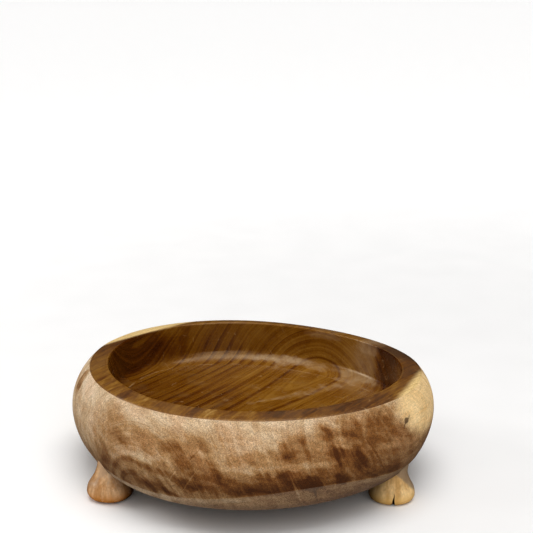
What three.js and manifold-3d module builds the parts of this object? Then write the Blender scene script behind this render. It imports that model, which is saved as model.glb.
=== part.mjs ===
// A carved wooden bowl on three turned feet.
//
// The bowl is one block of wood, carved round the outside by eye, so its plan is a slightly
// lopsided oval, and hollowed only in its upper part, which leaves a thick bottom. Each foot is
// a separate bell-shaped peg whose top is coped to the bowl's sloping underside. A hardwood
// dowel, hidden in blind holes, pins each foot to the bowl across the glue line.
//
// Units are millimetres and +Z is up. The feet stand on z = 0, and the finished group is moved
// so that its bounding box is centred on the Z axis.

import * as THREE from 'three';
import { mergeVertices } from 'three/addons/utils/BufferGeometryUtils.js';
import Module from 'manifold-3d';

const wasm = await Module();
wasm.setup();

// ---------------------------------------------------------------- driving dimensions

// Outside of the bowl, as mean radii and heights of its turned-looking profile.
const BELLY_RADIUS = 150;
const BELLY_LEVEL = 52.5;
const WALL_ROUND = 50;
const RIM_OUTER_LEVEL = 88.5;
const RIM_INNER_LEVEL = 90.5;
const BEVEL_TOP_LEVEL = 33;
const BEVEL_FOOT = { radius: 140.9, level: 24.3 };
const BASE = { radius: 110, level: 12.5 };

// Inside of the bowl.
const HOLLOW_RADIUS = 119.5;
const FLOOR_LEVEL = 55;
const COVE_RADIUS = 7;
const EASED_EDGE = 1.1;

// Plan of the bowl, as fractions of its mean radius: an oval stretched along ovalTowards and a
// three-cornered swelling whose first corner is at eggTowards. The plan changes evenly from the
// rim down to the bevel's foot, where the whole section has also moved by LEAN along X.
const RIM_PLAN = { oval: 0.052, ovalTowards: 135, egg: 0.022, eggTowards: 0 };
const LOW_PLAN = { oval: 0.070, ovalTowards: 126, egg: 0.038, eggTowards: 13.4 };
const LEAN = -5.8;

// Feet: where they stand round the bowl, and their bell-shaped outline as radius and height.
const FOOT_PLACES = {
  left: { fromAxis: 128.3, azimuth: -149.4 },
  right: { fromAxis: 131, azimuth: -32.5 },
  back: { fromAxis: 129.5, azimuth: 89 },
};
const FOOT_FLAT_RADIUS = 12;
const FOOT_OUTLINE = [
  [15.3, 1.3],
  [17.6, 4],
  [18.3, 7],
  [17.1, 12],
  [14.3, 16.7],
  [12.1, 21.5],
  [10.9, 26],
];

// Hidden dowels, and the clearance kept between any two pieces.
const DOWEL_RADIUS = 5;
const DOWEL_BOTTOM_LEVEL = 6;
const DOWEL_LENGTH = 28;
const GLUE_GAP = 0.3;

// Facets.
const BOWL_SEGMENTS = 96;
const WALL_STEPS = 14;
const COVE_STEPS = 5;
const FOOT_SEGMENTS = 40;
const FOOT_STEPS = 14;
const DOWEL_SEGMENTS = 24;

// ---------------------------------------------------------------- wood colours

const woods = {
  bowl: { color: 0x8a6238, roughness: 0.6 },
  foot_left: { color: 0xb98a55, roughness: 0.45 },
  foot_right: { color: 0xdcc08c, roughness: 0.55 },
  foot_back: { color: 0xc9a56e, roughness: 0.5 },
  dowel: { color: 0xcdb27e, roughness: 0.7 },
};

function woodMaterial({ color, roughness }) {
  return new THREE.MeshStandardMaterial({ color, roughness, metalness: 0 });
}

// ---------------------------------------------------------------- geometry helpers

const { degToRad, lerp, clamp } = THREE.MathUtils;

function pointOnCircle(radius, azimuth) {
  const angle = degToRad(azimuth);
  return { x: radius * Math.cos(angle), y: radius * Math.sin(angle) };
}

// Points along an arc in the profile plane, both ends included, angles in radians.
function arcPoints(centreRadius, centreLevel, arcRadius, startAngle, endAngle, steps) {
  const arc = new THREE.EllipseCurve(
    centreRadius, centreLevel, arcRadius, arcRadius, startAngle, endAngle, endAngle < startAngle,
  );
  return arc.getPoints(steps);
}

// A closed body turned about +Z from a profile that starts and ends on the axis.
function turned(profile, segments) {
  const geometry = new THREE.LatheGeometry(profile, segments);
  geometry.rotateX(Math.PI / 2);
  return geometry;
}

// How far the plan reaches at an angle, as a multiple of the mean radius.
function planReach(plan, angle) {
  const oval = plan.oval * Math.cos(2 * (angle - degToRad(plan.ovalTowards)));
  const egg = plan.egg * Math.cos(3 * (angle - degToRad(plan.eggTowards)));
  return 1 + oval + egg;
}

// Reshapes a round body to the bowl's plan. blendAt gives, for a height, how far the plan has
// changed from the rim's to the lower one.
function shapeToPlan(geometry, blendAt) {
  const position = geometry.attributes.position;
  for (let i = 0; i < position.count; i += 1) {
    const x = position.getX(i);
    const y = position.getY(i);
    const blend = blendAt(position.getZ(i));
    const angle = Math.atan2(y, x);
    const reach = lerp(planReach(RIM_PLAN, angle), planReach(LOW_PLAN, angle), blend);
    position.setX(i, x * reach + LEAN * blend);
    position.setY(i, y * reach);
  }
  return geometry;
}

// Turns a closed geometry into a solid for cutting, without the zero-area triangles that a
// turned body has where its profile meets the axis.
function toSolid(geometry) {
  const bare = new THREE.BufferGeometry();
  bare.setAttribute('position', geometry.attributes.position);
  bare.setIndex(geometry.index);
  const merged = mergeVertices(bare);
  const corners = merged.index.array;
  const triangles = [];
  for (let i = 0; i < corners.length; i += 3) {
    const [a, b, c] = corners.slice(i, i + 3);
    if (a !== b && b !== c && c !== a) {
      triangles.push(a, b, c);
    }
  }
  return new wasm.Manifold(new wasm.Mesh({
    numProp: 3,
    vertProperties: new Float32Array(merged.attributes.position.array),
    triVerts: new Uint32Array(triangles),
  }));
}

function toGeometry(solid) {
  const { vertProperties, triVerts } = solid.getMesh();
  const geometry = new THREE.BufferGeometry();
  geometry.setAttribute('position', new THREE.BufferAttribute(vertProperties, 3));
  geometry.setIndex(new THREE.BufferAttribute(triVerts, 1));
  geometry.computeVertexNormals();
  return geometry;
}

// ---------------------------------------------------------------- bowl

function lowPlanBlend(level) {
  const blend = (RIM_OUTER_LEVEL - level) / (RIM_OUTER_LEVEL - BEVEL_FOOT.level);
  return clamp(blend, 0, 1);
}

function wallAngle(level) {
  return Math.asin((level - BELLY_LEVEL) / WALL_ROUND);
}

// The bowl before hollowing. growth swells it all over, to cut the feet clear of the bowl.
function bowlBlank(growth) {
  const wall = arcPoints(
    BELLY_RADIUS - WALL_ROUND, BELLY_LEVEL, WALL_ROUND + growth,
    wallAngle(BEVEL_TOP_LEVEL), wallAngle(RIM_OUTER_LEVEL), WALL_STEPS,
  );
  const profile = [
    new THREE.Vector2(0, BASE.level - growth),
    new THREE.Vector2(BASE.radius, BASE.level - growth),
    new THREE.Vector2(BEVEL_FOOT.radius + growth, BEVEL_FOOT.level - growth),
    ...wall,
    new THREE.Vector2(HOLLOW_RADIUS, RIM_INNER_LEVEL + growth),
    new THREE.Vector2(0, RIM_INNER_LEVEL + growth),
  ];
  return toSolid(shapeToPlan(turned(profile, BOWL_SEGMENTS), lowPlanBlend));
}

// What is carved out of the blank. Its upright wall keeps the rim's plan all the way down.
function hollow() {
  const top = RIM_INNER_LEVEL + EASED_EDGE;
  const cove = arcPoints(
    HOLLOW_RADIUS - COVE_RADIUS, FLOOR_LEVEL + COVE_RADIUS, COVE_RADIUS,
    -Math.PI / 2, 0, COVE_STEPS,
  );
  const profile = [
    new THREE.Vector2(0, FLOOR_LEVEL),
    ...cove,
    new THREE.Vector2(HOLLOW_RADIUS, RIM_INNER_LEVEL - EASED_EDGE),
    new THREE.Vector2(HOLLOW_RADIUS + 2 * EASED_EDGE, top),
    new THREE.Vector2(0, top),
  ];
  return toSolid(shapeToPlan(turned(profile, BOWL_SEGMENTS), () => 0));
}

// ---------------------------------------------------------------- feet and dowels

function footBlank() {
  const outline = new THREE.SplineCurve([
    new THREE.Vector2(FOOT_FLAT_RADIUS, 0),
    ...FOOT_OUTLINE.map(([radius, level]) => new THREE.Vector2(radius, level)),
  ]);
  const outlineTop = FOOT_OUTLINE.at(-1)[1];
  const profile = [
    new THREE.Vector2(0, 0),
    ...outline.getPoints(FOOT_STEPS),
    new THREE.Vector2(0, outlineTop),
  ];
  return turned(profile, FOOT_SEGMENTS);
}

// A dowel grown by clearance all over, standing on its level in a foot's own frame.
function dowelRod(clearance) {
  const length = DOWEL_LENGTH + 2 * clearance;
  const rod = new THREE.CylinderGeometry(
    DOWEL_RADIUS + clearance, DOWEL_RADIUS + clearance, length, DOWEL_SEGMENTS,
  );
  rod.rotateX(Math.PI / 2);
  rod.translate(0, 0, DOWEL_BOTTOM_LEVEL - clearance + length / 2);
  return rod;
}

function standAt(geometry, place) {
  return geometry.clone().translate(place.x, place.y, 0);
}

// ---------------------------------------------------------------- assembly

function namedMesh(name, geometry, wood) {
  const mesh = new THREE.Mesh(geometry, woodMaterial(wood));
  mesh.name = name;
  return mesh;
}

function buildBowl() {
  const group = new THREE.Group();
  let bowl = bowlBlank(0).subtract(hollow());
  const clearOfBowl = bowlBlank(GLUE_GAP);

  for (const [side, { fromAxis, azimuth }] of Object.entries(FOOT_PLACES)) {
    const place = pointOnCircle(fromAxis, azimuth);
    const dowelHole = toSolid(standAt(dowelRod(GLUE_GAP), place));
    const foot = toSolid(standAt(footBlank(), place)).subtract(clearOfBowl).subtract(dowelHole);
    bowl = bowl.subtract(dowelHole);
    group.add(
      namedMesh(`foot_${side}`, toGeometry(foot), woods[`foot_${side}`]),
      namedMesh(`dowel_${side}`, standAt(dowelRod(0), place), woods.dowel),
    );
  }
  group.add(namedMesh('bowl', toGeometry(bowl), woods.bowl));

  const bounds = new THREE.Box3().setFromObject(group);
  const centre = bounds.getCenter(new THREE.Vector3());
  group.position.set(-centre.x, -centre.y, -bounds.min.z);
  return group;
}

export default buildBowl();
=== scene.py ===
import math

import bpy
import numpy as np
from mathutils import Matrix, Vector
from mathutils.bvhtree import BVHTree


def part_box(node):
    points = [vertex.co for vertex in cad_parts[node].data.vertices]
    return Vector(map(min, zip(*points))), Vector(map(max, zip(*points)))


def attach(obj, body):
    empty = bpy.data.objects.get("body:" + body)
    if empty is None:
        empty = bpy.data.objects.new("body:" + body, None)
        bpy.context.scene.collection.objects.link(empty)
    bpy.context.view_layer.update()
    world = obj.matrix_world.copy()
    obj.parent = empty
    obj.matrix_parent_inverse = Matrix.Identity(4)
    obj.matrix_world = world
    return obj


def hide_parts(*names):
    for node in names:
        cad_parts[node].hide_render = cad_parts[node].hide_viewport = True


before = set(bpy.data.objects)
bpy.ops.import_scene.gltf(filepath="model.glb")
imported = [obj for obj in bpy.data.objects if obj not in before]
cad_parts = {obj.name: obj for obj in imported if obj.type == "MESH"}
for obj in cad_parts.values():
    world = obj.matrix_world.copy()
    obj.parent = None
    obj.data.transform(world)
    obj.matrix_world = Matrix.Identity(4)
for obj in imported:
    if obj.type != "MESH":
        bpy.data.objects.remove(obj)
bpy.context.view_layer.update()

# A carved wooden bowl on three turned feet. Shape functions work in millimetres and are turned
# into metres when a mesh is made.

MM = 0.001

# ---------- bowl: driving dimensions

BELLY_RADIUS = 150.0
BELLY_LEVEL = 52.5
WALL_ROUND = 50.0
RIM_OUTER_LEVEL = 88.5
RIM_INNER_LEVEL = 90.5
RIM_EDGE_ROUND = 0.7
INNER_EDGE_ROUND = 1.2
BEVEL_FOOT_RADIUS = 140.9
BEVEL_FOOT_LEVEL = 24.3
BASE_RADIUS = 110.0
BASE_LEVEL = 12.5
HOLLOW_RADIUS = 119.5
FLOOR_LEVEL = 55.0

# Plan: an oval and a three-cornered swelling, as fractions of the mean radius and directions.
RIM_PLAN = {"oval": 0.052, "oval_towards": 135.0, "egg": 0.022, "egg_towards": 0.0}
LOW_PLAN = {"oval": 0.070, "oval_towards": 126.0, "egg": 0.038, "egg_towards": 13.4}
LEAN = -5.8

# Hand-made unevenness.
WALL_RIPPLE = 0.4
RIM_WOBBLE = 0.35
RIM_FACE_DIP = 0.12       # how far the rim's inner edge lies under its level

BOWL_SEGMENTS = 420
WALL_RINGS = 46
FAR_OFF = 50.0            # stored where an edge is out of reach

# ---------- feet and dowels

FOOT_SEGMENTS = 110
FOOT_RIPPLE = 0.25
FOOT_TOP_RANGE = (8.0, 34.0)
GLUE_GAP = 0.3
DOWEL_RADIUS = 5.0
DOWEL_BOTTOM_LEVEL = 6.0
DOWEL_TOP_LEVEL = 34.0
DOWEL_CHAMFER = 1.0
DOWEL_FLUTES = 20
FLUTE_DEPTH = 0.36
CUTTER_BOTTOM_LEVEL = 2.0


# ---------- shape helpers

def bump(angle, centre, width, power=2):
    """A smooth hump of height 1 round a direction, all in degrees."""
    away = (np.degrees(angle) - centre + 180.0) % 360.0 - 180.0
    return np.exp(-np.abs(away / width) ** power)


def circle(radius, angle, level):
    """A ring of points round Z, from one radius and level or one of each for every point."""
    return np.stack([radius * np.cos(angle), radius * np.sin(angle), level + 0 * angle], axis=1)


def plan_reach(plan, angle):
    """How far the plan reaches in a direction, as a fraction of its mean radius."""
    oval = plan["oval"] * np.cos(2 * (angle - math.radians(plan["oval_towards"])))
    egg = plan["egg"] * np.cos(3 * (angle - math.radians(plan["egg_towards"])))
    return 1 + oval + egg


def outside_points(radius, level, angle):
    """Places one ring of the bowl's outside, whose plan changes from the rim down."""
    blend = np.clip((RIM_OUTER_LEVEL - level) / (RIM_OUTER_LEVEL - BEVEL_FOOT_LEVEL), 0, 1)
    reach = (1 - blend) * plan_reach(RIM_PLAN, angle) + blend * plan_reach(LOW_PLAN, angle)
    x = radius * reach * np.cos(angle) + LEAN * blend
    y = radius * reach * np.sin(angle)
    return np.stack([x, y, level + 0 * angle], axis=1)


def inside_points(radius, level, angle):
    """Places one ring of the rim's face or the hollow, which keep the rim's plan."""
    return circle(radius * plan_reach(RIM_PLAN, angle), angle, level)


def wall_radius(level):
    """The belly's round section: its mean radius at a level."""
    return BELLY_RADIUS - WALL_ROUND + np.sqrt(WALL_ROUND ** 2 - (level - BELLY_LEVEL) ** 2)


def smooth_curve(points, count):
    """A Catmull-Rom curve through a few points, as count + 1 points."""
    p = np.array(points, float)
    p = np.vstack([2 * p[0] - p[1], p, 2 * p[-1] - p[-2]])
    spans = len(p) - 3
    out = []
    for t in np.linspace(0, spans, count + 1):
        i = min(int(t), spans - 1)
        u = t - i
        a, b, c, d = p[i:i + 4]
        out.append(0.5 * (2 * b + (c - a) * u + (2 * a - 5 * b + 4 * c - d) * u ** 2
                          + (3 * b - a - 3 * c + d) * u ** 3))
    return np.array(out)


def hand_ripple(seed, waves, turns, rise):
    """A function of direction and level: the faint unevenness that hand sanding leaves."""
    rng = np.random.default_rng(seed)
    k = rng.integers(turns[0], turns[1], waves)
    m = rng.uniform(-rise, rise, waves)
    phase = rng.uniform(0, 2 * math.pi, waves)
    size = rng.uniform(0.5, 1.0, waves) / math.sqrt(waves)

    def ripple(angle, level):
        total = 0 * angle
        for i in range(waves):
            total = total + size[i] * np.cos(k[i] * angle + m[i] * level + phase[i])
        return total

    return ripple


# ---------- mesh helpers

def add_object(name, data):
    """Puts a mesh, light or camera into the scene."""
    made = bpy.data.objects.new(name, data)
    bpy.context.scene.collection.objects.link(made)
    return made


def ring_body(name, rings, bottom, top, shift):
    """A closed mesh from rings of points, with a pole at each end."""
    count = len(rings[0])
    points = np.vstack([bottom[None, :], *rings, top[None, :]])
    points = (points + shift) * MM
    last = len(points) - 1
    ahead = [(j + 1) % count for j in range(count)]
    faces = [(0, 1 + ahead[j], 1 + j) for j in range(count)]
    for i in range(len(rings) - 1):
        low = 1 + i * count
        high = low + count
        faces += [(low + j, low + ahead[j], high + ahead[j], high + j) for j in range(count)]
    end = 1 + (len(rings) - 1) * count
    faces += [(end + j, end + ahead[j], last) for j in range(count)]
    mesh = bpy.data.meshes.new(name)
    mesh.from_pydata(points.tolist(), [], faces)
    mesh.update()
    mesh.shade_smooth()
    return add_object(name, mesh)


def store_field(piece, name, values):
    """Keeps one number for each point of a mesh, for its material to read."""
    field = piece.data.attributes.new(name, "FLOAT", "POINT")
    field.data.foreach_set("value", values.astype(np.float32))


def keep_edges_sharp(piece, degrees):
    """Shades an edge as a crease where its faces turn by more than this angle."""
    piece.data.set_sharp_from_angle(angle=math.radians(degrees))


def cut(piece, cutters):
    """Cuts closed bodies out of a piece and removes them."""
    for cutter in cutters:
        step = piece.modifiers.new("cut", "BOOLEAN")
        step.operation = "DIFFERENCE"
        step.solver = "EXACT"
        step.object = cutter
    graph = bpy.context.evaluated_depsgraph_get()
    carved = bpy.data.meshes.new_from_object(piece.evaluated_get(graph))
    piece.modifiers.clear()
    piece.data = carved
    for cutter in cutters:
        bpy.data.objects.remove(cutter)


def add_piece(piece, node):
    """Lets a piece stand for its CAD node: hangs it under the root body and hides the node."""
    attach(piece, "root")
    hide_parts(node)


# ---------- bowl

def bevel_top_level(angle):
    """The facet round the bottom of the belly runs higher in places, as a hand tool leaves it."""
    return (29.0 + 12.5 * bump(angle, -70, 30) + 6 * bump(angle, 60, 35)
            + 4 * bump(angle, 160, 30))


def cove_width(angle):
    """How far the cove reaches in from the wall, wider at the right and the back."""
    return (5 + 11.5 * bump(angle, 46, 38, power=4) + 8 * bump(angle, 100, 26)
            + 5 * bump(angle, 160, 25))


def cove_height(angle):
    """How far the cove reaches up the wall, highest at the back."""
    return 7 + 3.5 * bump(angle, 85, 50)


def rim_ripple(angle):
    """The rim's wavering, which the top of the inner wall follows."""
    return hand_ripple(seed=5, waves=10, turns=(2, 12), rise=0.0)(angle, 0)


def underside_rings(angle):
    """The flat base, its eased edge and the shallow cone up to the facet."""
    rings = [outside_points(r, BASE_LEVEL, angle) for r in np.linspace(12, BASE_RADIUS - 3, 10)]
    rings += [outside_points(BASE_RADIUS + d, BASE_LEVEL + h, angle)
              for d, h in ((-1.2, 0.1), (0.6, 0.45), (2.6, 1.1))]
    for u in np.linspace(0.15, 0.93, 10):
        rings.append(outside_points(BASE_RADIUS + u * (BEVEL_FOOT_RADIUS - BASE_RADIUS),
                                    BASE_LEVEL + u * (BEVEL_FOOT_LEVEL - BASE_LEVEL), angle))
    return rings


def wall_rings(angle):
    """The facet and the rippled belly, up to just under the rim's outer edge."""
    ripple = hand_ripple(seed=11, waves=16, turns=(3, 15), rise=0.09)
    edge = bevel_top_level(angle)
    edge_radius = wall_radius(edge)
    rings = []
    for u in np.linspace(0.03, 1, 13):
        level = BEVEL_FOOT_LEVEL + u * (edge - BEVEL_FOOT_LEVEL)
        radius = BEVEL_FOOT_RADIUS + u * (edge_radius - BEVEL_FOOT_RADIUS)
        rings.append(outside_points(radius + 0.12 * u * ripple(angle, level), level, angle))
    top = RIM_OUTER_LEVEL - RIM_EDGE_ROUND
    for u in np.linspace(0.012, 1, WALL_RINGS):
        level = edge + u * (top - edge)
        fade = 0.24 + 0.5 * np.sin(math.pi * u)
        radius = wall_radius(level) + WALL_RIPPLE * fade * (ripple(angle, level) - 0.8)
        rings.append(outside_points(radius, level, angle))
    return rings


def rim_rings(angle):
    """The rim's rounded outer edge, its nearly flat face and its rounded inner edge."""
    ripple = rim_ripple(angle)
    wobble = RIM_WOBBLE * ripple
    outer = wall_radius(RIM_OUTER_LEVEL)
    rings = []
    for turn in (25, 50, 75):
        a = math.radians(turn)
        radius = outer - RIM_EDGE_ROUND * (1 - math.cos(a)) + 0.12 * ripple
        level = RIM_OUTER_LEVEL - RIM_EDGE_ROUND * (1 - math.sin(a))
        rings.append(inside_points(radius, level, angle))
    inner = HOLLOW_RADIUS + INNER_EDGE_ROUND
    for u in np.linspace(0.06, 1, 12):
        radius = outer + u * (inner + wobble - outer)
        level = RIM_OUTER_LEVEL + u * (RIM_INNER_LEVEL - RIM_OUTER_LEVEL)
        level = level + 0.25 * math.sin(math.pi * u) - RIM_FACE_DIP * u
        rings.append(inside_points(radius, level, angle))
    for turn in (20, 45, 70, 90):
        a = math.radians(turn)
        radius = inner - INNER_EDGE_ROUND * math.sin(a) + wobble
        level = RIM_INNER_LEVEL - RIM_FACE_DIP - INNER_EDGE_ROUND * (1 - math.cos(a))
        rings.append(inside_points(radius, level, angle))
    return rings


def hollow_rings(angle):
    """The upright inner wall, the cove and the floor, down to the middle of the floor."""
    ripple = hand_ripple(seed=23, waves=14, turns=(3, 16), rise=0.12)
    wobble = RIM_WOBBLE * rim_ripple(angle)
    width = cove_width(angle)
    height = cove_height(angle)
    top = RIM_INNER_LEVEL - RIM_FACE_DIP - INNER_EDGE_ROUND
    rings = []
    for u in np.linspace(0.05, 1, 22):
        level = top + u * (FLOOR_LEVEL + height - top)
        uneven = 0.3 * math.sin(math.pi * u) * ripple(angle, level)
        radius = HOLLOW_RADIUS + wobble * (1 - u) + uneven
        rings.append(inside_points(radius, level, angle))
    last_turn = math.radians(80)
    for u in np.linspace(0.08, 1, 12):
        a = u * last_turn
        radius = HOLLOW_RADIUS - width * (1 - np.cos(a)) / (1 - math.cos(last_turn))
        level = FLOOR_LEVEL + height * (1 - np.sin(a) / math.sin(last_turn))
        rings.append(inside_points(radius, level, angle))
    edge = HOLLOW_RADIUS - width
    for u in np.linspace(0.012, 0.94, 24):
        radius = edge * (1 - u)
        level = FLOOR_LEVEL + 0.12 * math.sin(math.pi * u) * ripple(angle, 30 * u)
        rings.append(inside_points(radius, level, angle))
    return rings


def build_bowl():
    """The whole bowl before its dowel holes, raw outside and oiled from the rim inwards."""
    angle = np.linspace(0, 2 * math.pi, BOWL_SEGMENTS, endpoint=False)
    raw = underside_rings(angle) + wall_rings(angle)
    rim = rim_rings(angle)
    hollow = hollow_rings(angle)
    bottom = np.array([LEAN, 0, BASE_LEVEL])
    floor_centre = np.array([0, 0, FLOOR_LEVEL])
    piece = ring_body("carved_bowl", raw + rim + hollow, bottom, floor_centre, np.zeros(3))
    slots = np.ones(len(piece.data.polygons), int)
    slots[:len(raw) * BOWL_SEGMENTS] = 0
    piece.data.materials.append(bowl_raw_material())
    piece.data.materials.append(bowl_oiled_material())
    piece.data.polygons.foreach_set("material_index", slots)
    mark_edges(piece, raw, rim, hollow, angle)
    return piece


def mark_edges(piece, raw, rim, hollow, angle):
    """Stores each point's distance below the facet's edge, and from the floor's and rim's edges."""
    count = len(piece.data.vertices)
    facet = np.full(count, -FAR_OFF)
    floor_edge = np.full(count, FAR_OFF)
    rim_edge = np.full(count, FAR_OFF)
    facet_level = bevel_top_level(angle)
    reach = plan_reach(RIM_PLAN, angle)
    for i, ring in enumerate(raw + rim + hollow):
        here = slice(1 + i * len(angle), 1 + (i + 1) * len(angle))
        radius = np.hypot(ring[:, 0], ring[:, 1]) / reach
        if i < len(raw):
            facet[here] = facet_level - ring[:, 2]
        elif i < len(raw) + len(rim):
            rim_edge[here] = radius - HOLLOW_RADIUS - INNER_EDGE_ROUND
        else:
            rim_edge[here] = ring[:, 2] - RIM_INNER_LEVEL
            floor_edge[here] = radius - (HOLLOW_RADIUS - cove_width(angle))
    store_field(piece, "facet", facet)
    store_field(piece, "floor_edge", floor_edge)
    store_field(piece, "rim_edge", rim_edge)


def crease_edges(piece):
    """Makes the facet's edge and the floor's edge crisp."""
    for name in ("facet", "floor_edge"):
        values = piece.data.attributes[name].data
        for edge in piece.data.edges:
            first, second = edge.vertices
            if abs(values[first].value) < 0.01 and abs(values[second].value) < 0.01:
                edge.use_edge_sharp = True


# ---------- feet and dowels

# Where each foot stands, its outline as radius and level, and the direction of its drying crack.
FEET = {
    "left": {
        "from_axis": 128.3, "azimuth": -149.4,
        "outline": [(10.8, 0), (14.6, 1.3), (17.5, 4.2), (18.5, 7.5), (17.4, 12.5), (14.5, 17),
                    (11.9, 21.5), (10.0, 27), (9.2, 34)],
        "crack": None,
    },
    "right": {
        "from_axis": 131.0, "azimuth": -32.5,
        "outline": [(13.0, 0), (15.9, 1.1), (17.7, 3.3), (18.1, 5.8), (17.0, 10.8), (14.2, 16),
                    (12.4, 21.5), (12.6, 26), (14.0, 32)],
        "crack": -92.0,
    },
    "back": {
        "from_axis": 129.5, "azimuth": 89.0,
        "outline": [(11.8, 0), (15.2, 1.2), (17.5, 3.8), (18.2, 6.8), (17.1, 11.7), (14.3, 16.5),
                    (12.0, 21.5), (11.0, 27), (11.0, 34)],
        "crack": None,
    },
}

CRACK_HEIGHT = 10.5
CRACK_MOUTH = 3.4
CRACK_DEPTH = 2.8
CRACK_SPREAD = 0.12       # half of the angle that holds it, in radians


def foot_place(side, shift):
    """The middle of a foot's sole."""
    a = math.radians(FEET[side]["azimuth"])
    from_axis = FEET[side]["from_axis"]
    return np.array([from_axis * math.cos(a), from_axis * math.sin(a), 0]) + shift


def foot_angles(crack):
    """Directions round a foot, close together where a drying crack has to be cut."""
    angle = np.linspace(0, 2 * math.pi, FOOT_SEGMENTS, endpoint=False)
    if crack is None:
        return angle
    centre = math.radians(crack) % (2 * math.pi)
    near = np.abs((angle - centre + math.pi) % (2 * math.pi) - math.pi) < CRACK_SPREAD
    fine = centre + np.linspace(-CRACK_SPREAD, CRACK_SPREAD, 33)
    return np.sort(np.concatenate([angle[~near], fine]) % (2 * math.pi))


def crack_depth(angle, level, radius, crack):
    """How far a point on the foot's side lies inside the drying crack's V."""
    if crack is None or level > CRACK_HEIGHT:
        return 0 * angle
    up = level / CRACK_HEIGHT
    half = 0.5 * CRACK_MOUTH * (1 - up) + 0.05
    drift = 0.05 * up + 0.008 * math.sin(9 * up)
    away = (angle - math.radians(crack) - drift + math.pi) % (2 * math.pi) - math.pi
    across = np.abs(away) * radius
    return CRACK_DEPTH * (1 - 0.6 * up) * np.clip(1 - across / half, 0, 1)


class FootShape:
    """A foot's rippled side, and the underside of the bowl that its top is cut to."""

    def __init__(self, side, shift, bowl_above):
        self.crack = FEET[side]["crack"]
        self.place = foot_place(side, shift)
        self.angle = foot_angles(self.crack)
        self.outline = smooth_curve(FEET[side]["outline"], 160)
        self.ripple = hand_ripple(seed=len(side), waves=8, turns=(1, 6), rise=0.2)
        self.bowl_above = bowl_above

    def lathed_radius(self, level):
        return np.interp(level, self.outline[:, 1], self.outline[:, 0])

    def radius(self, angle, level):
        return self.lathed_radius(level) + FOOT_RIPPLE * self.ripple(angle, level)

    def ceiling(self, angle, radius):
        """How high the foot may reach there and stay clear of the bowl."""
        x = self.place[0] + radius * math.cos(angle)
        y = self.place[1] + radius * math.sin(angle)
        hit = self.bowl_above.ray_cast(Vector((x, y, 0)) * MM, Vector((0, 0, 1)))
        return DOWEL_TOP_LEVEL if hit[0] is None else hit[0].z / MM - GLUE_GAP

    def top(self, angle):
        """The level at which the side meets the bowl, found by halving."""
        low, high = FOOT_TOP_RANGE
        for _ in range(16):
            middle = (low + high) / 2
            if middle < self.ceiling(angle, self.radius(angle, middle)):
                low = middle
            else:
                high = middle
        return low


def foot_outer_rings(foot, tops):
    """The sole and the side, and how deep the drying crack is at each of their points."""
    angle = foot.angle
    sole = foot.outline[0, 0]
    mouth = crack_depth(angle, 0, sole, foot.crack)
    rings = [circle(sole * part, angle, 0) for part in (0.25, 0.45)]
    rings.append(circle(np.minimum(sole * 0.8, sole - mouth - 0.4), angle, 0))
    cracks = [0 * angle, 0 * angle, mouth]
    for u in np.linspace(0, 1, 44) ** 1.15:
        level = u * tops
        radius = foot.radius(angle, level)
        depth = np.array([crack_depth(angle[j:j + 1], level[j], radius[j], foot.crack)[0]
                          for j in range(len(angle))])
        rings.append(circle(radius - depth, angle, level))
        cracks.append(depth)
    return rings, cracks


def foot_inner_rings(foot, tops):
    """The top face, which follows the bowl's underside, and the dowel's blind hole."""
    angle = foot.angle
    hole = DOWEL_RADIUS + GLUE_GAP
    hole_bottom = DOWEL_BOTTOM_LEVEL - GLUE_GAP
    rings = []
    for u in (0.25, 0.5, 0.75, 1.0):
        radius = foot.lathed_radius(tops) * (1 - u) + hole * u
        level = np.array([foot.ceiling(a, r) for a, r in zip(angle, radius)])
        rings.append(circle(radius, angle, level))
    for u in (0.3, 0.6, 1.0):
        rings.append(circle(hole, angle, level * (1 - u) + hole_bottom * u))
    rings.append(circle(hole * 0.5, angle, hole_bottom))
    return rings


def build_foot(side, shift, bowl_above):
    """A turned foot whose top is cut to the bowl's underside."""
    foot = FootShape(side, shift, bowl_above)
    tops = np.array([foot.top(a) for a in foot.angle])
    outer, cracks = foot_outer_rings(foot, tops)
    inner = foot_inner_rings(foot, tops)
    hole_bottom = np.array([0, 0, DOWEL_BOTTOM_LEVEL - GLUE_GAP])
    piece = ring_body(f"turned_foot_{side}", outer + inner, np.zeros(3), hole_bottom, foot.place)
    uncracked = np.zeros(len(inner) * len(foot.angle))
    store_field(piece, "crack", np.concatenate([[0], *cracks, uncracked, [0]]))
    piece.data.materials.append(foot_material(side))
    keep_edges_sharp(piece, 35)
    return piece


def build_dowel(side, shift):
    """A fluted dowel with chamfered ends."""
    place = foot_place(side, shift)
    angle = np.linspace(0, 2 * math.pi, DOWEL_FLUTES * 4, endpoint=False)
    fluted = DOWEL_RADIUS - FLUTE_DEPTH / 2 * (1 + np.cos(DOWEL_FLUTES * angle))
    length = DOWEL_TOP_LEVEL - DOWEL_BOTTOM_LEVEL
    steps = [(0.5, 0.0), (0.84, 0.0), (1.0, DOWEL_CHAMFER), (1.0, 10.0), (1.0, 20.0),
             (1.0, length - DOWEL_CHAMFER), (0.84, length), (0.5, length)]
    rings = [circle(fluted * scale, angle, DOWEL_BOTTOM_LEVEL + rise) for scale, rise in steps]
    bottom = np.array([0, 0, DOWEL_BOTTOM_LEVEL])
    top = np.array([0, 0, DOWEL_TOP_LEVEL])
    piece = ring_body(f"fluted_dowel_{side}", rings, bottom, top, place)
    piece.data.materials.append(dowel_material())
    keep_edges_sharp(piece, 40)
    return piece


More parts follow.
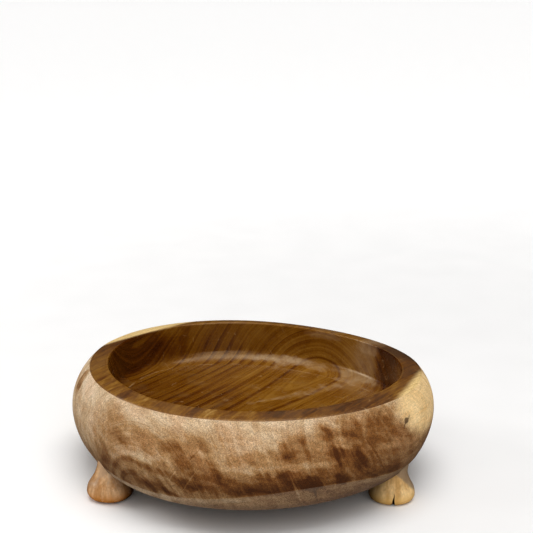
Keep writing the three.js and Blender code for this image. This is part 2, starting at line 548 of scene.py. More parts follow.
def dowel_cutter(side, shift):
    """The body that cuts a dowel's hole out of the bowl."""
    place = foot_place(side, shift)
    angle = np.linspace(0, 2 * math.pi, 48, endpoint=False)
    hole = DOWEL_RADIUS + GLUE_GAP
    levels = (CUTTER_BOTTOM_LEVEL, DOWEL_TOP_LEVEL + GLUE_GAP)
    rings = [circle(hole, angle, level) for level in levels]
    bottom, top = (np.array([0, 0, level]) for level in levels)
    return ring_body("dowel_cutter", rings, bottom, top, place)


# ---------- material helpers

def tone(red, green, blue):
    """A screen colour of 0 to 255 per channel as a linear colour."""
    def linear(value):
        v = value / 255
        return v / 12.92 if v <= 0.04045 else ((v + 0.055) / 1.055) ** 2.4
    return (linear(red), linear(green), linear(blue), 1.0)


class Graph:
    """Short forms for the shader nodes that the woods are made of."""

    def __init__(self, name):
        self.material = bpy.data.materials.new(name)
        self.material.use_nodes = True
        self.tree = self.material.node_tree
        self.shader = self.tree.nodes["Principled BSDF"]

    def node(self, kind, values=None, **settings):
        """A new node with its settings, and a number or a link for each input named."""
        made = self.tree.nodes.new("ShaderNode" + kind)
        for key, value in settings.items():
            setattr(made, key, value)
        for key, value in (values or {}).items():
            self.feed(made.inputs[key], value)
        return made

    def feed(self, socket, value):
        if isinstance(value, bpy.types.NodeSocket):
            self.tree.links.new(value, socket)
        else:
            socket.default_value = value

    def calc(self, operation, a, b=0.0):
        return self.node("Math", {0: a, 1: b}, operation=operation).outputs[0]

    def add(self, a, b):
        return self.calc("ADD", a, b)

    def times(self, a, b):
        return self.calc("MULTIPLY", a, b)

    def total(self, *terms):
        whole = terms[0]
        for term in terms[1:]:
            whole = self.add(whole, term)
        return whole

    def attribute(self, name):
        """A number that store_field kept on the mesh."""
        return self.node("Attribute", attribute_name=name).outputs["Fac"]

    def place(self, degrees):
        """Object coordinates in millimetres, turned about Z."""
        where = self.node("TexCoord").outputs["Object"]
        return self.node("Mapping", {
            "Vector": where,
            "Rotation": (0, 0, math.radians(degrees)),
            "Scale": (1 / MM, 1 / MM, 1 / MM),
        }).outputs[0]

    def split(self, vector):
        return self.node("SeparateXYZ", {0: vector}).outputs[:]

    def join(self, x, y, z):
        return self.node("CombineXYZ", {0: x, 1: y, 2: z}).outputs[0]

    def between(self, factor, a, b):
        """Goes from the number a to the number b as the factor goes from 0 to 1."""
        return self.add(a, self.times(factor, self.calc("SUBTRACT", b, a)))

    def stretch(self, vector, x, y, z):
        """Scales a place, so a number below 1 draws its noise out along that axis."""
        return self.node("Mapping", {"Vector": vector, "Scale": (x, y, z)}).outputs[0]

    def turned(self, vector, degrees):
        return self.node("Mapping", {
            "Vector": vector, "Rotation": (0, 0, math.radians(degrees)),
        }).outputs[0]

    def noise(self, vector, scale=1.0, detail=2.0, roughness=0.5):
        return self.node("TexNoise", {
            "Vector": vector, "Scale": scale, "Detail": detail, "Roughness": roughness,
        }).outputs[0]

    def noise_along(self, value, scale=1.0, detail=2.0, roughness=0.5):
        """Noise that changes with one number only, such as the distance from the pith."""
        return self.node("TexNoise", {
            "W": value, "Scale": scale, "Detail": detail, "Roughness": roughness,
        }, noise_dimensions="1D").outputs[0]

    def centred(self, value, size):
        """Noise of 0 to 1 as a swing of plus or minus size."""
        return self.times(self.calc("SUBTRACT", value, 0.5), 2 * size)

    def ramp(self, value, low, high, start=0.0, end=1.0):
        """Goes smoothly from start to end as the value goes from low to high."""
        return self.node("MapRange", {
            "Value": value, "From Min": low, "From Max": high, "To Min": start, "To Max": end,
        }, interpolation_type="SMOOTHSTEP").outputs[0]

    def jitter(self, vector, where, scale, amount):
        """Moves a place about by noise, so that what is drawn there gets a loose edge."""
        swing = self.node("TexNoise", {"Vector": where, "Scale": scale, "Detail": 3.0})
        centred = self.node("VectorMath", {0: swing.outputs[1], 1: (0.5, 0.5, 0.5)},
                            operation="SUBTRACT")
        return self.node("VectorMath", {
            0: centred.outputs[0], 1: (2 * amount, 2 * amount, 0), 2: vector,
        }, operation="MULTIPLY_ADD").outputs[0]

    def blob(self, vector, centre, half, turn=0.0):
        """1 in the middle of an ellipsoid and 0 from its surface outwards."""
        local = self.node("Mapping", {
            "Vector": vector, "Location": centre, "Rotation": (0, 0, turn), "Scale": half,
        }, vector_type="TEXTURE").outputs[0]
        ball = self.node("TexGradient", {"Vector": local}, gradient_type="SPHERICAL")
        return self.ramp(ball.outputs[1], 0.0, 0.55)

    def palette(self, value, *tones):
        """A colour from a few tones spread evenly over 0 to 1."""
        made = self.node("ValToRGB", {0: value})
        elements = made.color_ramp.elements
        while len(elements) < len(tones):
            elements.new(0.5)
        for i in range(len(tones)):
            elements[i].position = i / (len(tones) - 1)
            elements[i].color = tone(*tones[i])
        return made.outputs[0]

    def blend(self, factor, a, b, mode="MIX"):
        made = self.node("Mix", data_type="RGBA", blend_type=mode)
        self.feed(made.inputs[0], factor)
        self.feed(made.inputs[6], a)
        self.feed(made.inputs[7], b)
        return made.outputs[2]

    def shade(self, colour, amount):
        """Multiplies a colour by a grey amount."""
        return self.node("HueSaturation", {"Color": colour, "Value": amount}).outputs[0]

    def bump(self, height, distance, under=None):
        """Relief of this depth in metres, laid over any relief under it."""
        values = {"Height": height, "Distance": distance, "Strength": 1.0}
        if under is not None:
            values["Normal"] = under
        return self.node("Bump", values).outputs[0]

    def finish(self, colour, roughness, normal, constants=None):
        """Feeds the shader, with any constants by socket name, and gives the material."""
        values = {"Base Color": colour, "Roughness": roughness, "Normal": normal}
        for key, value in {**values, **(constants or {})}.items():
            self.feed(self.shader.inputs[key], value)
        return self.material


# ---------- the log that the bowl was cut from

LOG_TURN = 30.0       # turns X and Y into across the log and along it
PITH_ACROSS = (8.75, 0.080, -0.000624)
PITH_LEVEL = (24.0, 0.05)
SAP_RADIUS = 149.6
SAP_LEAN = 0.045
SAP_TAPER = 0.22
FIRST_DARK_RING = 35.4
RING_SPACING = 8.9

AROUND_OUTSIDE = 146.0    # radius that turns a direction into millimetres round the outside
AROUND_HOLLOW = 122.0


def log_field(g):
    """Where a point lies in the log: its distance from the pith, and how far into the sapwood."""
    here = g.place(LOG_TURN)
    across, along, level = g.split(here)
    bend = g.add(g.times(along, PITH_ACROSS[2]), PITH_ACROSS[1])
    pith_across = g.add(g.times(along, bend), PITH_ACROSS[0])
    pith_level = g.add(g.times(along, PITH_LEVEL[1]), PITH_LEVEL[0])
    sideways = g.calc("SUBTRACT", across, pith_across)
    upward = g.calc("SUBTRACT", level, pith_level)
    distance = g.calc("SQRT", g.add(g.times(sideways, sideways), g.times(upward, upward)))
    loose = g.centred(g.noise(here, 1 / 13, 4, 0.6), 3.0)
    edge = g.total(distance,
                   g.times(sideways, SAP_LEAN),
                   g.times(along, SAP_TAPER),
                   g.times(g.ramp(level, 84, 54), -4.0),
                   g.times(loose, g.ramp(level, 89, 82, 0.3, 1.0)))
    slow = g.stretch(here, 1, 0.35, 1)
    wavy = g.add(distance, g.centred(g.noise(slow, 1 / 48, 2, 0.45), 2.2))
    return {
        "here": here, "level": level, "distance": wavy, "edge": edge,
        "sap": g.ramp(edge, SAP_RADIUS - 2.5, SAP_RADIUS + 3.0),
        "fibre_place": g.stretch(here, 1, 0.035, 1),
    }


def ring_lines(g, log, sharp=0.93):
    """Single dark growth rings, each darkest at its outer side."""
    wander = g.centred(g.noise_along(log["distance"], 1 / 30, 1), 2.6)
    turns = g.times(g.add(g.add(log["distance"], wander), RING_SPACING - FIRST_DARK_RING),
                    1 / RING_SPACING)
    phase = g.calc("FRACT", turns)
    return g.times(g.ramp(phase, 0.45, sharp), g.ramp(phase, 1.0, 0.97))


def round_place(g, back_is_zero, radius):
    """Millimetres round the bowl from the front or the back, and the level."""
    x, y, z = g.split(g.place(0))
    ahead = y if back_is_zero else g.times(y, -1.0)
    turn = g.calc("ARCTAN2", x, ahead)
    return g.join(g.times(turn, radius), z, 0.0)


def stains(g, vector, radius, marks):
    """The sum of the soft marks in a list."""
    total = None
    for direction, level, half_width, half_height, lean, strength in marks:
        centre = (math.radians(direction) * radius, level, 0)
        mark = g.blob(vector, centre, (half_width, half_height, 50), math.radians(lean))
        mark = g.times(mark, strength)
        total = mark if total is None else g.add(total, mark)
    return total


# ---------- oiled wood

# A mark is (direction, level, half width, half height, lean, strength). Directions are in degrees
# to the right of the front, or of the back inside the hollow. A positive lean tilts the top to the
# left, and a positive strength is darker.

# On the hollow's wall.
WALL_MARKS = [
    # Dark at the back left: partly the wood's dark figure and partly painted shade cast by the left
    # rim.
    (-58, 72, 66, 34, 0, 0.42),
    (-20, 74, 60, 20, 0, 0.08),
    (-50, 84, 14, 6, 10, -0.26),
    (-28, 76, 6, 24, -8, 0.16),
    (78, 73, 30, 30, 0, 0.42),
    # Pale at the right: a painted reflection on the right wall.
    (58, 70, 26, 30, 8, -0.10),
]

# On the floor and on the rim: X, Y, half width, half length, turn, strength.
FLOOR_MARKS = [
    (-80, 10, 80, 120, -30, 0.13),
    (10, 10, 60, 110, -30, 0.05),
    # The pale mark right of the middle is partly the floor's paler wood and partly a painted
    # reflection.
    (30, 30, 40, 90, -30, -0.05),
]
RIM_MARKS = [
    (-95, -76, 7, 15, -30, 0.34),
    (-117, -36, 5, 12, -30, 0.22),
    (-41, -117, 6, 16, -30, 0.26),
    (-14, -119, 6, 16, -30, 0.26),
    (-29, -118, 5, 14, -30, -0.2),
    (20, -119, 9, 18, -30, 0.24),
    (44, -118, 4, 14, -30, 0.26),
    (69, -108, 5, 14, -30, 0.26),
    (81, -98, 3, 12, -30, 0.24),
    (28, -124, 34, 14, 0, 0.18),
    (84, -104, 54, 28, 20, 0.26),
    (122, 20, 34, 90, 0, 0.30),
]

# Painted highlight along the cove and painted reflections on the wall above it, as pale marks. The
# strength is how pale.
PAINTED_SHEEN_MARKS = [
    (13, 59.7, 40, 4.0, 0, 0.62),
    (-12, 59.4, 30, 3.0, 0, 0.12),
    (33, 58.5, 20, 3.2, 0, 0.25),
    (58, 58.5, 40, 3.6, 0, 0.35),
    (62, 86, 18, 8, 0, 0.34),
    (60, 70, 18, 26, 8, 0.20),
    (36, 87, 26, 5, 0, 0.20),
]


def oiled_stains(g, here, marks):
    """Soft marks round the hollow."""
    where = g.jitter(round_place(g, True, AROUND_HOLLOW), here, 1 / 9, 4.0)
    return stains(g, where, AROUND_HOLLOW, marks)


def oiled_marks(g, here):
    """The dark and pale marks of the wall, the rim and the floor together."""
    total = g.times(oiled_stains(g, here, WALL_MARKS), g.ramp(g.split(here)[2], 54, 62))
    flat = g.jitter(g.place(0), here, 1 / 9, 4.0)
    for level, marks in ((FLOOR_LEVEL, FLOOR_MARKS), (RIM_INNER_LEVEL, RIM_MARKS)):
        for x, y, half_width, half_length, turn, strength in marks:
            half = (half_width, half_length, 8)
            mark = g.blob(flat, (x, y, level), half, math.radians(turn))
            total = g.add(total, g.times(mark, strength))
    return total


def oiled_darkness(g, log, on_rim, cloud, fine, streak):
    """From 0, the palest heartwood of the rim and the hollow, to 1, the darkest."""
    here = log["here"]
    patch = g.ramp(g.noise(g.stretch(here, 1, 0.3, 1), 1 / 38, 2), 0.3, 0.6)
    first = g.ramp(g.calc("ABSOLUTE", g.add(log["distance"], -FIRST_DARK_RING)), 1.5, 0.2)
    beyond_first = g.ramp(log["distance"], FIRST_DARK_RING - 2, FIRST_DARK_RING + 16)
    deep = g.ramp(log["level"], 86, 56, 0.5, 1.0)
    line = g.times(g.times(ring_lines(g, log), deep), g.times(patch, beyond_first))
    end_grain = g.noise(g.stretch(here, 1, 0.2, 1), 1 / 3.2, 4, 0.8)
    return g.total(g.centred(cloud, 0.30), 0.42,
                   oiled_marks(g, here),
                   g.times(line, 0.34),
                   g.times(first, 0.3),
                   g.centred(fine, 0.30),
                   g.centred(streak, 0.22),
                   g.times(g.centred(end_grain, 0.6), on_rim))


def greyed_rim_and_painted_sheen(g, log, colour, rim_edge, cloud):
    """Greys the rim where its oil has gone, and paints a highlight on the cove and reflections on the
    wall above it.
    """
    here = log["here"]
    greyed = g.times(g.ramp(rim_edge, 0.0, 2.0), g.ramp(cloud, 0.35, 0.65, 0.05, 0.2))
    greyed = g.times(greyed, g.ramp(log["sap"], 0, 1, 1.0, 0.3))
    colour = g.blend(greyed, colour, tone(146, 116, 80))
    # Painted highlight on the cove and painted reflections on the wall above it, broken up by noise.
    painted_sheen = oiled_stains(g, here, PAINTED_SHEEN_MARKS)
    painted_sheen = g.times(painted_sheen, g.ramp(g.noise(here, 1 / 7, 4, 0.7), 0.35, 0.65, 0.6, 1.35))
    return g.blend(g.calc("MINIMUM", painted_sheen, 0.8), colour, tone(172, 142, 106))


def scratches_and_painted_highlights(g, log, colour, rim_edge, cloud):
    """A painted sheen and curling scratches on the floor, and painted highlights along the floor's edge
    and the rim's inner edge.
    """
    here = log["here"]
    # Painted sheen: pale milky patches on the floor and the cove.
    painted_floor_sheen = g.ramp(g.noise(here, 1 / 30, 4, 0.65), 0.5, 0.68)
    painted_floor_sheen = g.times(painted_floor_sheen, g.ramp(log["level"], 64, 57))
    colour = g.blend(g.times(painted_floor_sheen, 0.16), colour, tone(150, 118, 72))
    curl = g.calc("ABSOLUTE", g.centred(g.noise(here, 1 / 24, 2, 0.4), 1.0))
    kept = g.ramp(g.noise(here, 1 / 11, 2), 0.56, 0.62)
    scratch = g.times(g.ramp(curl, 0.012, 0.004), kept)
    colour = g.blend(g.times(scratch, 0.35), colour, tone(182, 146, 100))
    # Painted highlight: a pale line along the floor's edge.
    painted_floor_edge_highlight = g.times(g.ramp(g.calc("ABSOLUTE", g.attribute("floor_edge")), 0.9, 0.1),
                   g.ramp(g.noise(here, 1 / 14, 2), 0.4, 0.6))
    colour = g.blend(g.times(painted_floor_edge_highlight, 0.5), colour, tone(186, 150, 104))
    # Painted highlight: a pale line along the rim's inner edge.
    painted_rim_edge_highlight = g.times(g.ramp(g.calc("ABSOLUTE", rim_edge), 0.9, 0.2), g.ramp(cloud, 0.35, 0.65))
    return g.blend(g.times(painted_rim_edge_highlight, 0.25), colour, tone(176, 136, 80))


def bowl_oiled_material():
    """The rim and the hollow: oiled, dark and satin."""
    g = Graph("bowl_oiled_wood")
    log = log_field(g)
    here = log["here"]
    rim_edge = g.attribute("rim_edge")
    on_rim = g.ramp(rim_edge, -1.0, 0.5)
    fine = g.noise_along(log["distance"], 1 / 1.7, 2, 0.75)
    cloud = g.noise(g.stretch(here, 1, 0.3, 1), 1 / 26, 4, 0.6)
    streak = g.noise(log["fibre_place"], 1 / 0.9, 2, 0.6)
    heart = g.palette(oiled_darkness(g, log, on_rim, cloud, fine, streak),
                      (170, 130, 70), (138, 94, 30), (112, 67, 8), (84, 40, 2), (50, 14, 0))
    sap_colour = g.blend(g.ramp(fine, 0.3, 0.7), tone(240, 208, 144), tone(216, 180, 116))
    colour = g.blend(g.times(log["sap"], g.ramp(rim_edge, -1.5, 0.0)), heart, sap_colour)
    colour = greyed_rim_and_painted_sheen(g, log, colour, rim_edge, cloud)
    speckle = g.ramp(g.noise(here, 1 / 0.9, 3, 0.8), 0.36, 0.64, 0.82, 1.18)
    colour = g.shade(colour, g.add(g.times(g.add(speckle, -1.0), on_rim), 1.0))
    pores = g.ramp(g.noise(g.stretch(log["fibre_place"], 1, 1.6, 1), 1 / 0.42, 1), 0.66, 0.74)
    colour = g.blend(g.times(pores, 0.4), colour, tone(60, 30, 10))
    colour = scratches_and_painted_highlights(g, log, colour, rim_edge, cloud)
    rough = g.ramp(g.noise(here, 1 / 14, 3, 0.6), 0.3, 0.75, 0.2, 0.34)
    rough = g.add(rough, g.times(on_rim, 0.12))
    normal = g.bump(streak, 0.00005)
    normal = g.bump(pores, -0.0001, under=normal)
    return g.finish(colour, rough, normal, {"Specular Tint": (1.0, 0.8, 0.52, 1.0)})


# ---------- raw wood

# The dark marks at the front right, broken up by leaning bars.
STREAKED_MARKS = [
    (22, 80, 9, 11, 40, 0.10),
    (30.5, 79, 13, 11, 35, 0.12),
    (43, 82, 22, 10, 0, 0.18),
    (11.5, 71, 15, 8, 30, 0.20),
    (25, 61, 10, 14, 20, 0.14),
    (34, 55, 12, 19, 35, 0.08),
    (5, 53.5, 20, 6, 0, 0.18),
    (8, 43, 36, 11, 0, 0.18),
    (17, 44, 9, 10, 20, 0.20),
    (26, 44, 9, 11, 30, 0.20),
]

# Clouds with loose edges.
SOFT_MARKS = [
    (28, 52, 84, 40, 0, 0.15),
    (27, 56, 30, 12, 0, 0.12),
    (21, 43, 26, 9, 0, 0.12),
    (34, 76, 46, 18, 0, 0.18),
    # slanting dark bands on the front and the left
    (-13, 74, 24, 8, -12, 0.14),
    (-13, 55, 46, 10, -22, 0.22),
    (-30, 67, 34, 7, -10, 0.06),
    (-48, 64, 30, 6, 0, 0.08),
    (-50, 80, 22, 7, -20, 0.13),
    (-44, 45, 34, 7, 10, 0.08),
    (-23, 46.5, 42, 4.5, -12, 0.16),
    (-28, 34, 32, 3.5, -12, 0.14),
    (-8, 44, 34, 11, 0, 0.12),
    (-86, 77, 12, 14, 0, 0.5),
    # pale clouds
    (-80, 60, 80, 40, 0, -0.24),
    (-36, 58, 40, 4.5, 4, -0.12),
    (10, 58.5, 66, 4.0, 0, -0.16),
    (-2, 72, 40, 5, 0, -0.10),
    (27, 70.5, 26, 6, -6, -0.18),
    (-30, 43, 22, 3.4, 0, -0.08),
    (-14, 34, 50, 7, -4, -0.08),
    (20, 34, 70, 5, 0, -0.10),
]

# Thin dark lines and pale scratches.
LINE_MARKS = [
    (17.7, 38.7, 1.4, 15, 22, 0.30),
    (22.2, 80.5, 2.6, 8, 46, 0.20),
    (24.6, 62, 2.4, 12, 17, 0.20),
    (33.0, 56, 3.6, 14, 37, 0.18),
    (38.6, 54, 1.3, 24, 33, 0.16),
    (26.0, 43, 2.8, 10, 37, 0.26),
    (-16.0, 65, 0.8, 8, -40, 0.14),
    (12.6, 40, 1.1, 16, 22, -0.20),
    (-17.2, 45.6, 0.7, 12, -32, -0.16),
    (-22.1, 48.5, 0.6, 7, -30, -0.16),
    (-27.0, 62, 0.6, 6, 50, -0.14),
]

KNOT_MARKS = [
    (52.4, 72.6, 3.4, 2.5, 0, 1.2),
    (51.4, 70.8, 4.6, 1.3, 42, 0.7),
    (53.8, 74.0, 4.4, 1.0, 24, 0.5),
]

# Rings that show as arches where the log's end comes out: distance, half width, strength.
ARCHES = [
    (FIRST_DARK_RING, 3.0, 0.11),
    (24.0, 4.0, 0.10),
    (40.0, 3.0, -0.12),
    (30.0, 4.0, -0.06),
    (48.0, 4.0, 0.08),
    (56.0, 4.0, 0.06),
]
ARCH_PLACE = -82.0
ARCH_REACH = (78.0, 20.0)


def end_arches(g, log, where):
    """The arches at the front left, faded out to both sides."""
    total = 0.0
    for distance, half_width, strength in ARCHES:
        away = g.calc("ABSOLUTE", g.add(log["distance"], -distance))
        total = g.add(total, g.ramp(away, half_width, 0.5, 0.0, strength))
    side = g.calc("ABSOLUTE", g.add(g.split(where)[0], -ARCH_PLACE))
    return g.times(total, g.ramp(side, *ARCH_REACH))


def outside_darkness(g, log):
    """From 0, the palest raw heartwood, to 1, the darkest. Marks keep off the underside."""
    here = log["here"]
    where = round_place(g, False, AROUND_OUTSIDE)
    outside = g.ramp(log["level"], BASE_LEVEL + 1, BEVEL_FOOT_LEVEL)
    leaning = g.stretch(g.turned(where, 16), 0.3, 1, 1)
    drift = g.noise(leaning, 1 / 9, 5, 0.62)
    under_drift = g.noise(g.stretch(here, 1, 0.15, 1), 1 / 9, 5, 0.62)
    drift = g.between(outside, under_drift, drift)
    bars = g.noise(g.stretch(g.turned(where, -25), 1, 0.2, 1), 1 / 8, 2, 0.5)
    loosest = g.jitter(g.jitter(where, here, 1 / 18, 7.0), here, 1 / 5, 3.0)
    clouds = stains(g, loosest, AROUND_OUTSIDE, SOFT_MARKS)
    streaked = stains(g, g.jitter(where, here, 1 / 7, 3.0), AROUND_OUTSIDE, STREAKED_MARKS)
    lines = stains(g, g.jitter(where, here, 1 / 5, 0.8), AROUND_OUTSIDE, LINE_MARKS)
    strips = g.ramp(bars, 0.40, 0.58, -0.05, 0.05)
    patch = g.ramp(g.noise(where, 1 / 22, 2), 0.42, 0.62)
    near_facet = g.calc("ABSOLUTE", g.add(g.attribute("facet"), -2.2))
    return g.total(
        g.centred(drift, 0.40), 0.46,
        g.times(outside, clouds),
        g.times(g.times(outside, streaked), g.ramp(bars, 0.42, 0.52, 0.75, 1.25)),
        g.times(outside, lines),
        g.times(g.times(outside, strips), g.ramp(log["level"], 84, 64, 0.2, 1.0)),
        g.times(ring_lines(g, log, 0.85), g.between(outside, 0.26, g.times(patch, 0.08))),
        end_arches(g, log, where),
        # Darker towards the bottom: painted shade of the lower belly.
        g.times(g.times(outside, g.ramp(log["level"], 66, 36)), 0.14),
        # Paler towards the rim: painted light on the belly's upward-facing top.
        g.times(g.ramp(log["level"], 70, 86), -0.28),
        g.times(g.ramp(log["edge"], SAP_RADIUS - 26, SAP_RADIUS - 2), 0.04),
        g.centred(g.noise_along(log["distance"], 1 / 1.7, 2, 0.75), 0.12),
        g.times(g.ramp(near_facet, 3.2, 1.6), -0.16),
    )


def knot(g):
    """A pin knot with two thin tails at the edge of the sapwood."""
    where = round_place(g, False, AROUND_OUTSIDE)
    return stains(g, g.jitter(where, where, 1 / 3, 1.2), AROUND_OUTSIDE, KNOT_MARKS)


def facet_tones(g, log, colour):
    """Paints shade on the lower belly and fades the facet, darker towards the bottom at the right and
    rubbed at the left.
    """
    in_facet = g.ramp(g.attribute("facet"), 0.0, 1.0)
    faded = g.times(in_facet, g.ramp(log["level"], BASE_LEVEL, BASE_LEVEL + 2, 0.15, 0.42))
    colour = g.blend(faded, colour, tone(132, 114, 94))
    # Painted shade: darker towards the bottom of the belly, a little less on the facet.
    low = g.ramp(log["level"], 64, 30, 1.0, 0.6)
    colour = g.shade(colour, g.add(low, g.times(in_facet, 0.1)))
    # Darker towards the bottom at the right, on the cone below the facet.
    darker_low_right = g.ramp(log["level"], 30, 27, 0.0, 0.35)
    darker_low_right = g.times(darker_low_right, g.ramp(log["level"], BASE_LEVEL, BASE_LEVEL + 2, 0.2, 1.0))
    to_the_left = g.ramp(g.split(g.place(0))[0], -20, -70)
    darker_low_right = g.times(darker_low_right, g.ramp(to_the_left, 0, 1, 1.0, 0.0))
    rubbed = g.times(g.times(in_facet, to_the_left), g.ramp(log["level"], 20, 24))
    patchy = g.ramp(g.noise(log["here"], 1 / 10, 3), 0.35, 0.6, 0.05, 0.45)
    colour = g.blend(g.times(rubbed, patchy), colour, tone(172, 150, 122))
    return g.blend(darker_low_right, colour, tone(72, 56, 46))


def bowl_raw_material():
    """The outside and underside: sanded but not oiled, pale, matt and slightly furry."""
    g = Graph("bowl_raw_wood")
    log = log_field(g)
    here = log["here"]
    heart = g.palette(outside_darkness(g, log),
                      (212, 188, 157), (185, 156, 120), (156, 118, 76), (116, 73, 32), (74, 38, 8))
    fine = g.noise_along(log["distance"], 1 / 1.9, 2, 0.7)
    sap_colour = g.blend(g.ramp(fine, 0.3, 0.7), tone(234, 202, 148), tone(216, 178, 120))
    amber = g.ramp(g.noise(g.stretch(here, 1, 0.06, 1), 1 / 4, 2), 0.55, 0.72)
    sap_colour = g.blend(g.times(amber, 0.5), sap_colour, tone(212, 162, 96))
    rosy = g.ramp(g.noise(g.stretch(here, 1, 0.5, 1), 1 / 18, 3, 0.6), 0.45, 0.65)
    heart = g.blend(g.times(rosy, 0.45), heart, (1.0, 0.88, 0.84, 1.0), mode="MULTIPLY")
    colour = g.blend(log["sap"], heart, sap_colour)
    colour = g.blend(g.calc("MINIMUM", knot(g), 0.85), colour, tone(66, 40, 22))
    colour = facet_tones(g, log, colour)
    speckle = g.noise(g.stretch(here, 1, 0.7, 1), 1 / 0.8, 3, 0.85)
    grit = g.ramp(speckle, 0.36, 0.64, -0.38, 0.38)
    grit = g.times(grit, g.ramp(log["sap"], 0, 1, 1.0, 0.45))
    colour = g.shade(colour, g.add(grit, 0.96))
    clump = g.noise(here, 1 / 3.2, 3, 0.7)
    colour = g.shade(colour, g.ramp(clump, 0.3, 0.7, 0.88, 1.1))
    pores = g.ramp(g.noise(g.stretch(here, 1, 0.2, 1), 1 / 0.8, 1), 0.66, 0.76)
    colour = g.blend(g.times(pores, g.ramp(log["sap"], 0, 1, 0.5, 0.3)), colour, tone(84, 54, 34))
    streak = g.noise(log["fibre_place"], 1 / 1.2, 2, 0.6)
    colour = g.shade(colour, g.ramp(streak, 0.2, 0.8, 0.9, 1.08))
    rough = g.ramp(speckle, 0.3, 0.7, 0.72, 0.9)
    normal = g.bump(speckle, 0.00018)
    normal = g.bump(g.noise(here, 1 / 5.5, 2), 0.0004, under=normal)
    return g.finish(colour, rough, normal, {"Specular IOR Level": 0.12})


# ---------- feet, dowels and floor

# Each foot's colours, with the painted shade on its inner side and how far out that shade reaches, and
# its roughness.
FOOT_WOODS = {
    "left": {
        "light": (208, 166, 122), "dark": (172, 124, 76), "worn": (182, 112, 36),
        "smudge": (164, 136, 110), "inner": (60, 26, 0), "painted_shade_reach": (134, 116), "rough": (0.2, 0.28),
    },
    "right": {
        "light": (228, 192, 134), "dark": (188, 144, 84), "worn": (214, 166, 88),
        "smudge": (124, 104, 86), "inner": (84, 54, 8), "painted_shade_reach": (139, 117), "rough": (0.4, 0.55),
    },
    "back": {
        "light": (216, 176, 122), "dark": (176, 130, 80), "worn": (190, 134, 70),
        "smudge": (150, 116, 78), "inner": (96, 62, 26), "painted_shade_reach": (130, 110), "rough": (0.35, 0.5),
    },
}


def foot_material(side):
    """A foot's own wood, with the grain standing upright and painted shade on the side under the bowl.
    """
    wood = FOOT_WOODS[side]
    g = Graph(f"foot_{side}_wood")
    here = g.place(40 if side == "right" else -20)
    x, y, level = g.split(g.place(0))
    upright = g.stretch(here, 1, 1, 0.09)
    rings = g.ramp(g.noise(upright, 1 / 8, 3, 0.6), 0.35, 0.65)
    streak = g.ramp(g.noise(upright, 1 / 1.4, 2, 0.6), 0.35, 0.68)
    colour = g.blend(rings, tone(*wood["light"]), tone(*wood["dark"]))
    colour = g.shade(colour, g.ramp(streak, 0, 1, 1.05, 0.9))
    mottle = g.noise(here, 1 / 2.2, 4, 0.75)
    colour = g.shade(colour, g.ramp(mottle, 0.3, 0.7, 0.88, 1.12))
    colour = g.blend(g.ramp(level, 11.0, 3.0, 0, 0.75), colour, tone(*wood["worn"]))
    if side == "right":
        loose = g.centred(g.noise(here, 1 / 5, 2), 1.5)
        patch = g.ramp(g.add(g.add(x, level), loose), 136.0, 138.5)
        colour = g.blend(g.times(patch, 0.75), colour, tone(*wood["smudge"]))
    else:
        smudge = g.ramp(g.noise(g.stretch(here, 1, 1, 0.5), 1 / 11, 4, 0.7), 0.42, 0.6)
        smudge = g.times(smudge, g.ramp(level, 8, 18))
        colour = g.blend(g.times(smudge, 0.6), colour, tone(*wood["smudge"]))
    # Painted shade: the foot's side towards the bowl's middle, in the bowl's shadow, is darkened.
    from_centre = g.calc("SQRT", g.add(g.times(x, x), g.times(y, y)))
    painted_shade = g.ramp(from_centre, *wood["painted_shade_reach"], 0.0, 0.9)
    colour = g.blend(painted_shade, colour, tone(*wood["inner"]))
    colour = g.blend(g.ramp(g.attribute("crack"), 0.1, 0.7), colour, tone(22, 12, 4))
    rough = g.ramp(g.noise(here, 1 / 6, 2), 0.3, 0.7, *wood["rough"])
    normal = g.bump(streak, 0.00006)
    normal = g.bump(g.noise(here, 1 / 9, 2), 0.0002, under=normal)
    return g.finish(colour, rough, normal, {"Specular Tint": (1.0, 0.84, 0.6, 1.0)})


def dowel_material():
    """Bare straight-grained wood."""
    g = Graph("dowel_wood")
    here = g.place(0)
    upright = g.stretch(here, 1, 1, 0.05)
    streak = g.ramp(g.noise(upright, 1 / 0.8, 2, 0.6), 0.35, 0.68)
    colour = g.blend(streak, tone(214, 180, 128), tone(184, 146, 96))
    rough = g.ramp(g.noise(here, 1 / 3, 2), 0.3, 0.7, 0.6, 0.75)
    return g.finish(colour, rough, g.bump(streak, 0.00006))


GLOW_REACH = (300, 1800)
FLOOR_GLOW = 0.28


def floor_material():
    """A nearly white floor that glows with distance, so that it ends without an edge."""
    g = Graph("studio_floor")
    here = g.place(0)
    colour = g.blend(g.noise(here, 1 / 400, 2), tone(246, 245, 244), tone(244, 243, 242))
    rough = g.ramp(g.noise(here, 1 / 60, 2), 0.3, 0.7, 0.6, 0.7)
    x, y = g.split(here)[:2]
    away = g.calc("SQRT", g.add(g.times(x, x), g.times(y, y)))
    return g.finish(colour, rough, g.bump(g.noise(here, 1 / 30, 2), 0.00002), {
        "Emission Color": (1, 1, 1, 1),
        "Emission Strength": g.ramp(away, *GLOW_REACH, 0.0, FLOOR_GLOW),
    })


# ---------- studio

CAMERA_PLACE = (0.0, -1021.0, 409.2)
CAMERA_PITCH_DOWN = 13.125
CAMERA_YAW_RIGHT = 0.739
CAMERA_LENS = 87.54
CAMERA_SENSOR = 36.0
FLOOR_REACH = 30.0        # metres


def build_camera(shift):
    """The camera, about a metre away and a little above the rim."""
    data = bpy.data.cameras.new("studio_camera")
    data.lens = CAMERA_LENS
    data.sensor_width = CAMERA_SENSOR
    camera = add_object("studio_camera", data)
    camera.location = (np.array(CAMERA_PLACE) + shift) * MM
    camera.rotation_euler = (math.radians(90 - CAMERA_PITCH_DOWN), 0,
                             math.radians(-CAMERA_YAW_RIGHT))
    bpy.context.scene.camera = camera


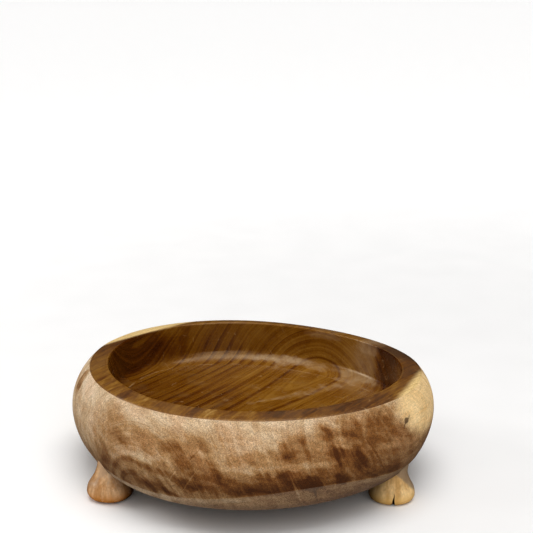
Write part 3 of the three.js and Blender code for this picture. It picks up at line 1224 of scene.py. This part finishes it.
def area_light(name, place, aim, size, power):
    """A rectangular light, in metres and watts."""
    data = bpy.data.lights.new(name, "AREA")
    data.shape = "RECTANGLE"
    data.size, data.size_y = size
    data.energy = power
    light = add_object(name, data)
    light.location = place
    light.rotation_euler = (Vector(aim) - Vector(place)).to_track_quat("-Z", "Y").to_euler()


def soft_sun(name, pitch, turn, width, strength, in_reflections=True):
    """A distant light, tilted from straight down, with its angles in degrees."""
    data = bpy.data.lights.new(name, "SUN")
    data.energy = strength
    data.angle = math.radians(width)
    light = add_object(name, data)
    light.rotation_euler = (math.radians(pitch), 0, math.radians(turn))
    light.visible_glossy = in_reflections


def build_world():
    """A white background that only the camera sees."""
    world = bpy.data.worlds.new("studio")
    world.use_nodes = True
    background = world.node_tree.nodes["Background"]
    background.inputs["Color"].default_value = (1, 1, 1, 1)
    background.inputs["Strength"].default_value = 1.0
    bpy.context.scene.world = world
    world.cycles_visibility.glossy = False
    world.cycles_visibility.diffuse = False
    bpy.context.scene.view_settings.view_transform = "Standard"


def build_floor():
    """The floor, which the oiled wood doesn't mirror."""
    mesh = bpy.data.meshes.new("studio_floor")
    corners = [(x * FLOOR_REACH, y * FLOOR_REACH, 0) for x, y in ((-1, -1), (1, -1), (1, 1), (-1, 1))]
    mesh.from_pydata(corners, [], [(0, 1, 2, 3)])
    floor = add_object("studio_floor", mesh)
    mesh.materials.append(floor_material())
    floor.visible_glossy = False


def build_lights():
    """A broad light from above, one in front, one at the left, and an even sky."""
    soft_sun("overhead", 8, 20, 50, 1.75)
    area_light("front", (0.15, -1.35, 1.0), (0, 0, 0.05), (1.3, 1.4), 11)
    area_light("window", (-1.6, 0.35, 0.95), (0, 0, 0.05), (0.8, 0.6), 9)
    soft_sun("sky", 0, 0, 170, 1.04, in_reflections=False)


# ---------- assembly

def shift_to_frame(bowl):
    """How far the bowl has to move in plan to lie over its CAD node, in millimetres."""
    low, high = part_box("bowl")
    shift = [0.0, 0.0, 0.0]
    for i in range(2):
        along = [vertex.co[i] for vertex in bowl.data.vertices]
        shift[i] = (low[i] + high[i]) / 2 - (max(along) + min(along)) / 2
    return np.array(shift) / MM


def build_object():
    """Builds every piece, cuts the dowel holes, and gives how far all of it was moved."""
    bowl = build_bowl()
    shift = shift_to_frame(bowl)
    for vertex in bowl.data.vertices:
        vertex.co += Vector(shift * MM)
    above = BVHTree.FromPolygons([v.co.copy() for v in bowl.data.vertices],
                                 [p.vertices[:] for p in bowl.data.polygons])
    for side in FEET:
        foot = build_foot(side, shift, above)
        add_piece(foot, f"foot_{side}")
        dowel = build_dowel(side, shift)
        add_piece(dowel, f"dowel_{side}")
    cut(bowl, [dowel_cutter(side, shift) for side in FEET])
    keep_edges_sharp(bowl, 30)
    crease_edges(bowl)
    add_piece(bowl, "bowl")
    return shift


shift = build_object()
build_camera(shift)
build_world()
build_floor()
build_lights()
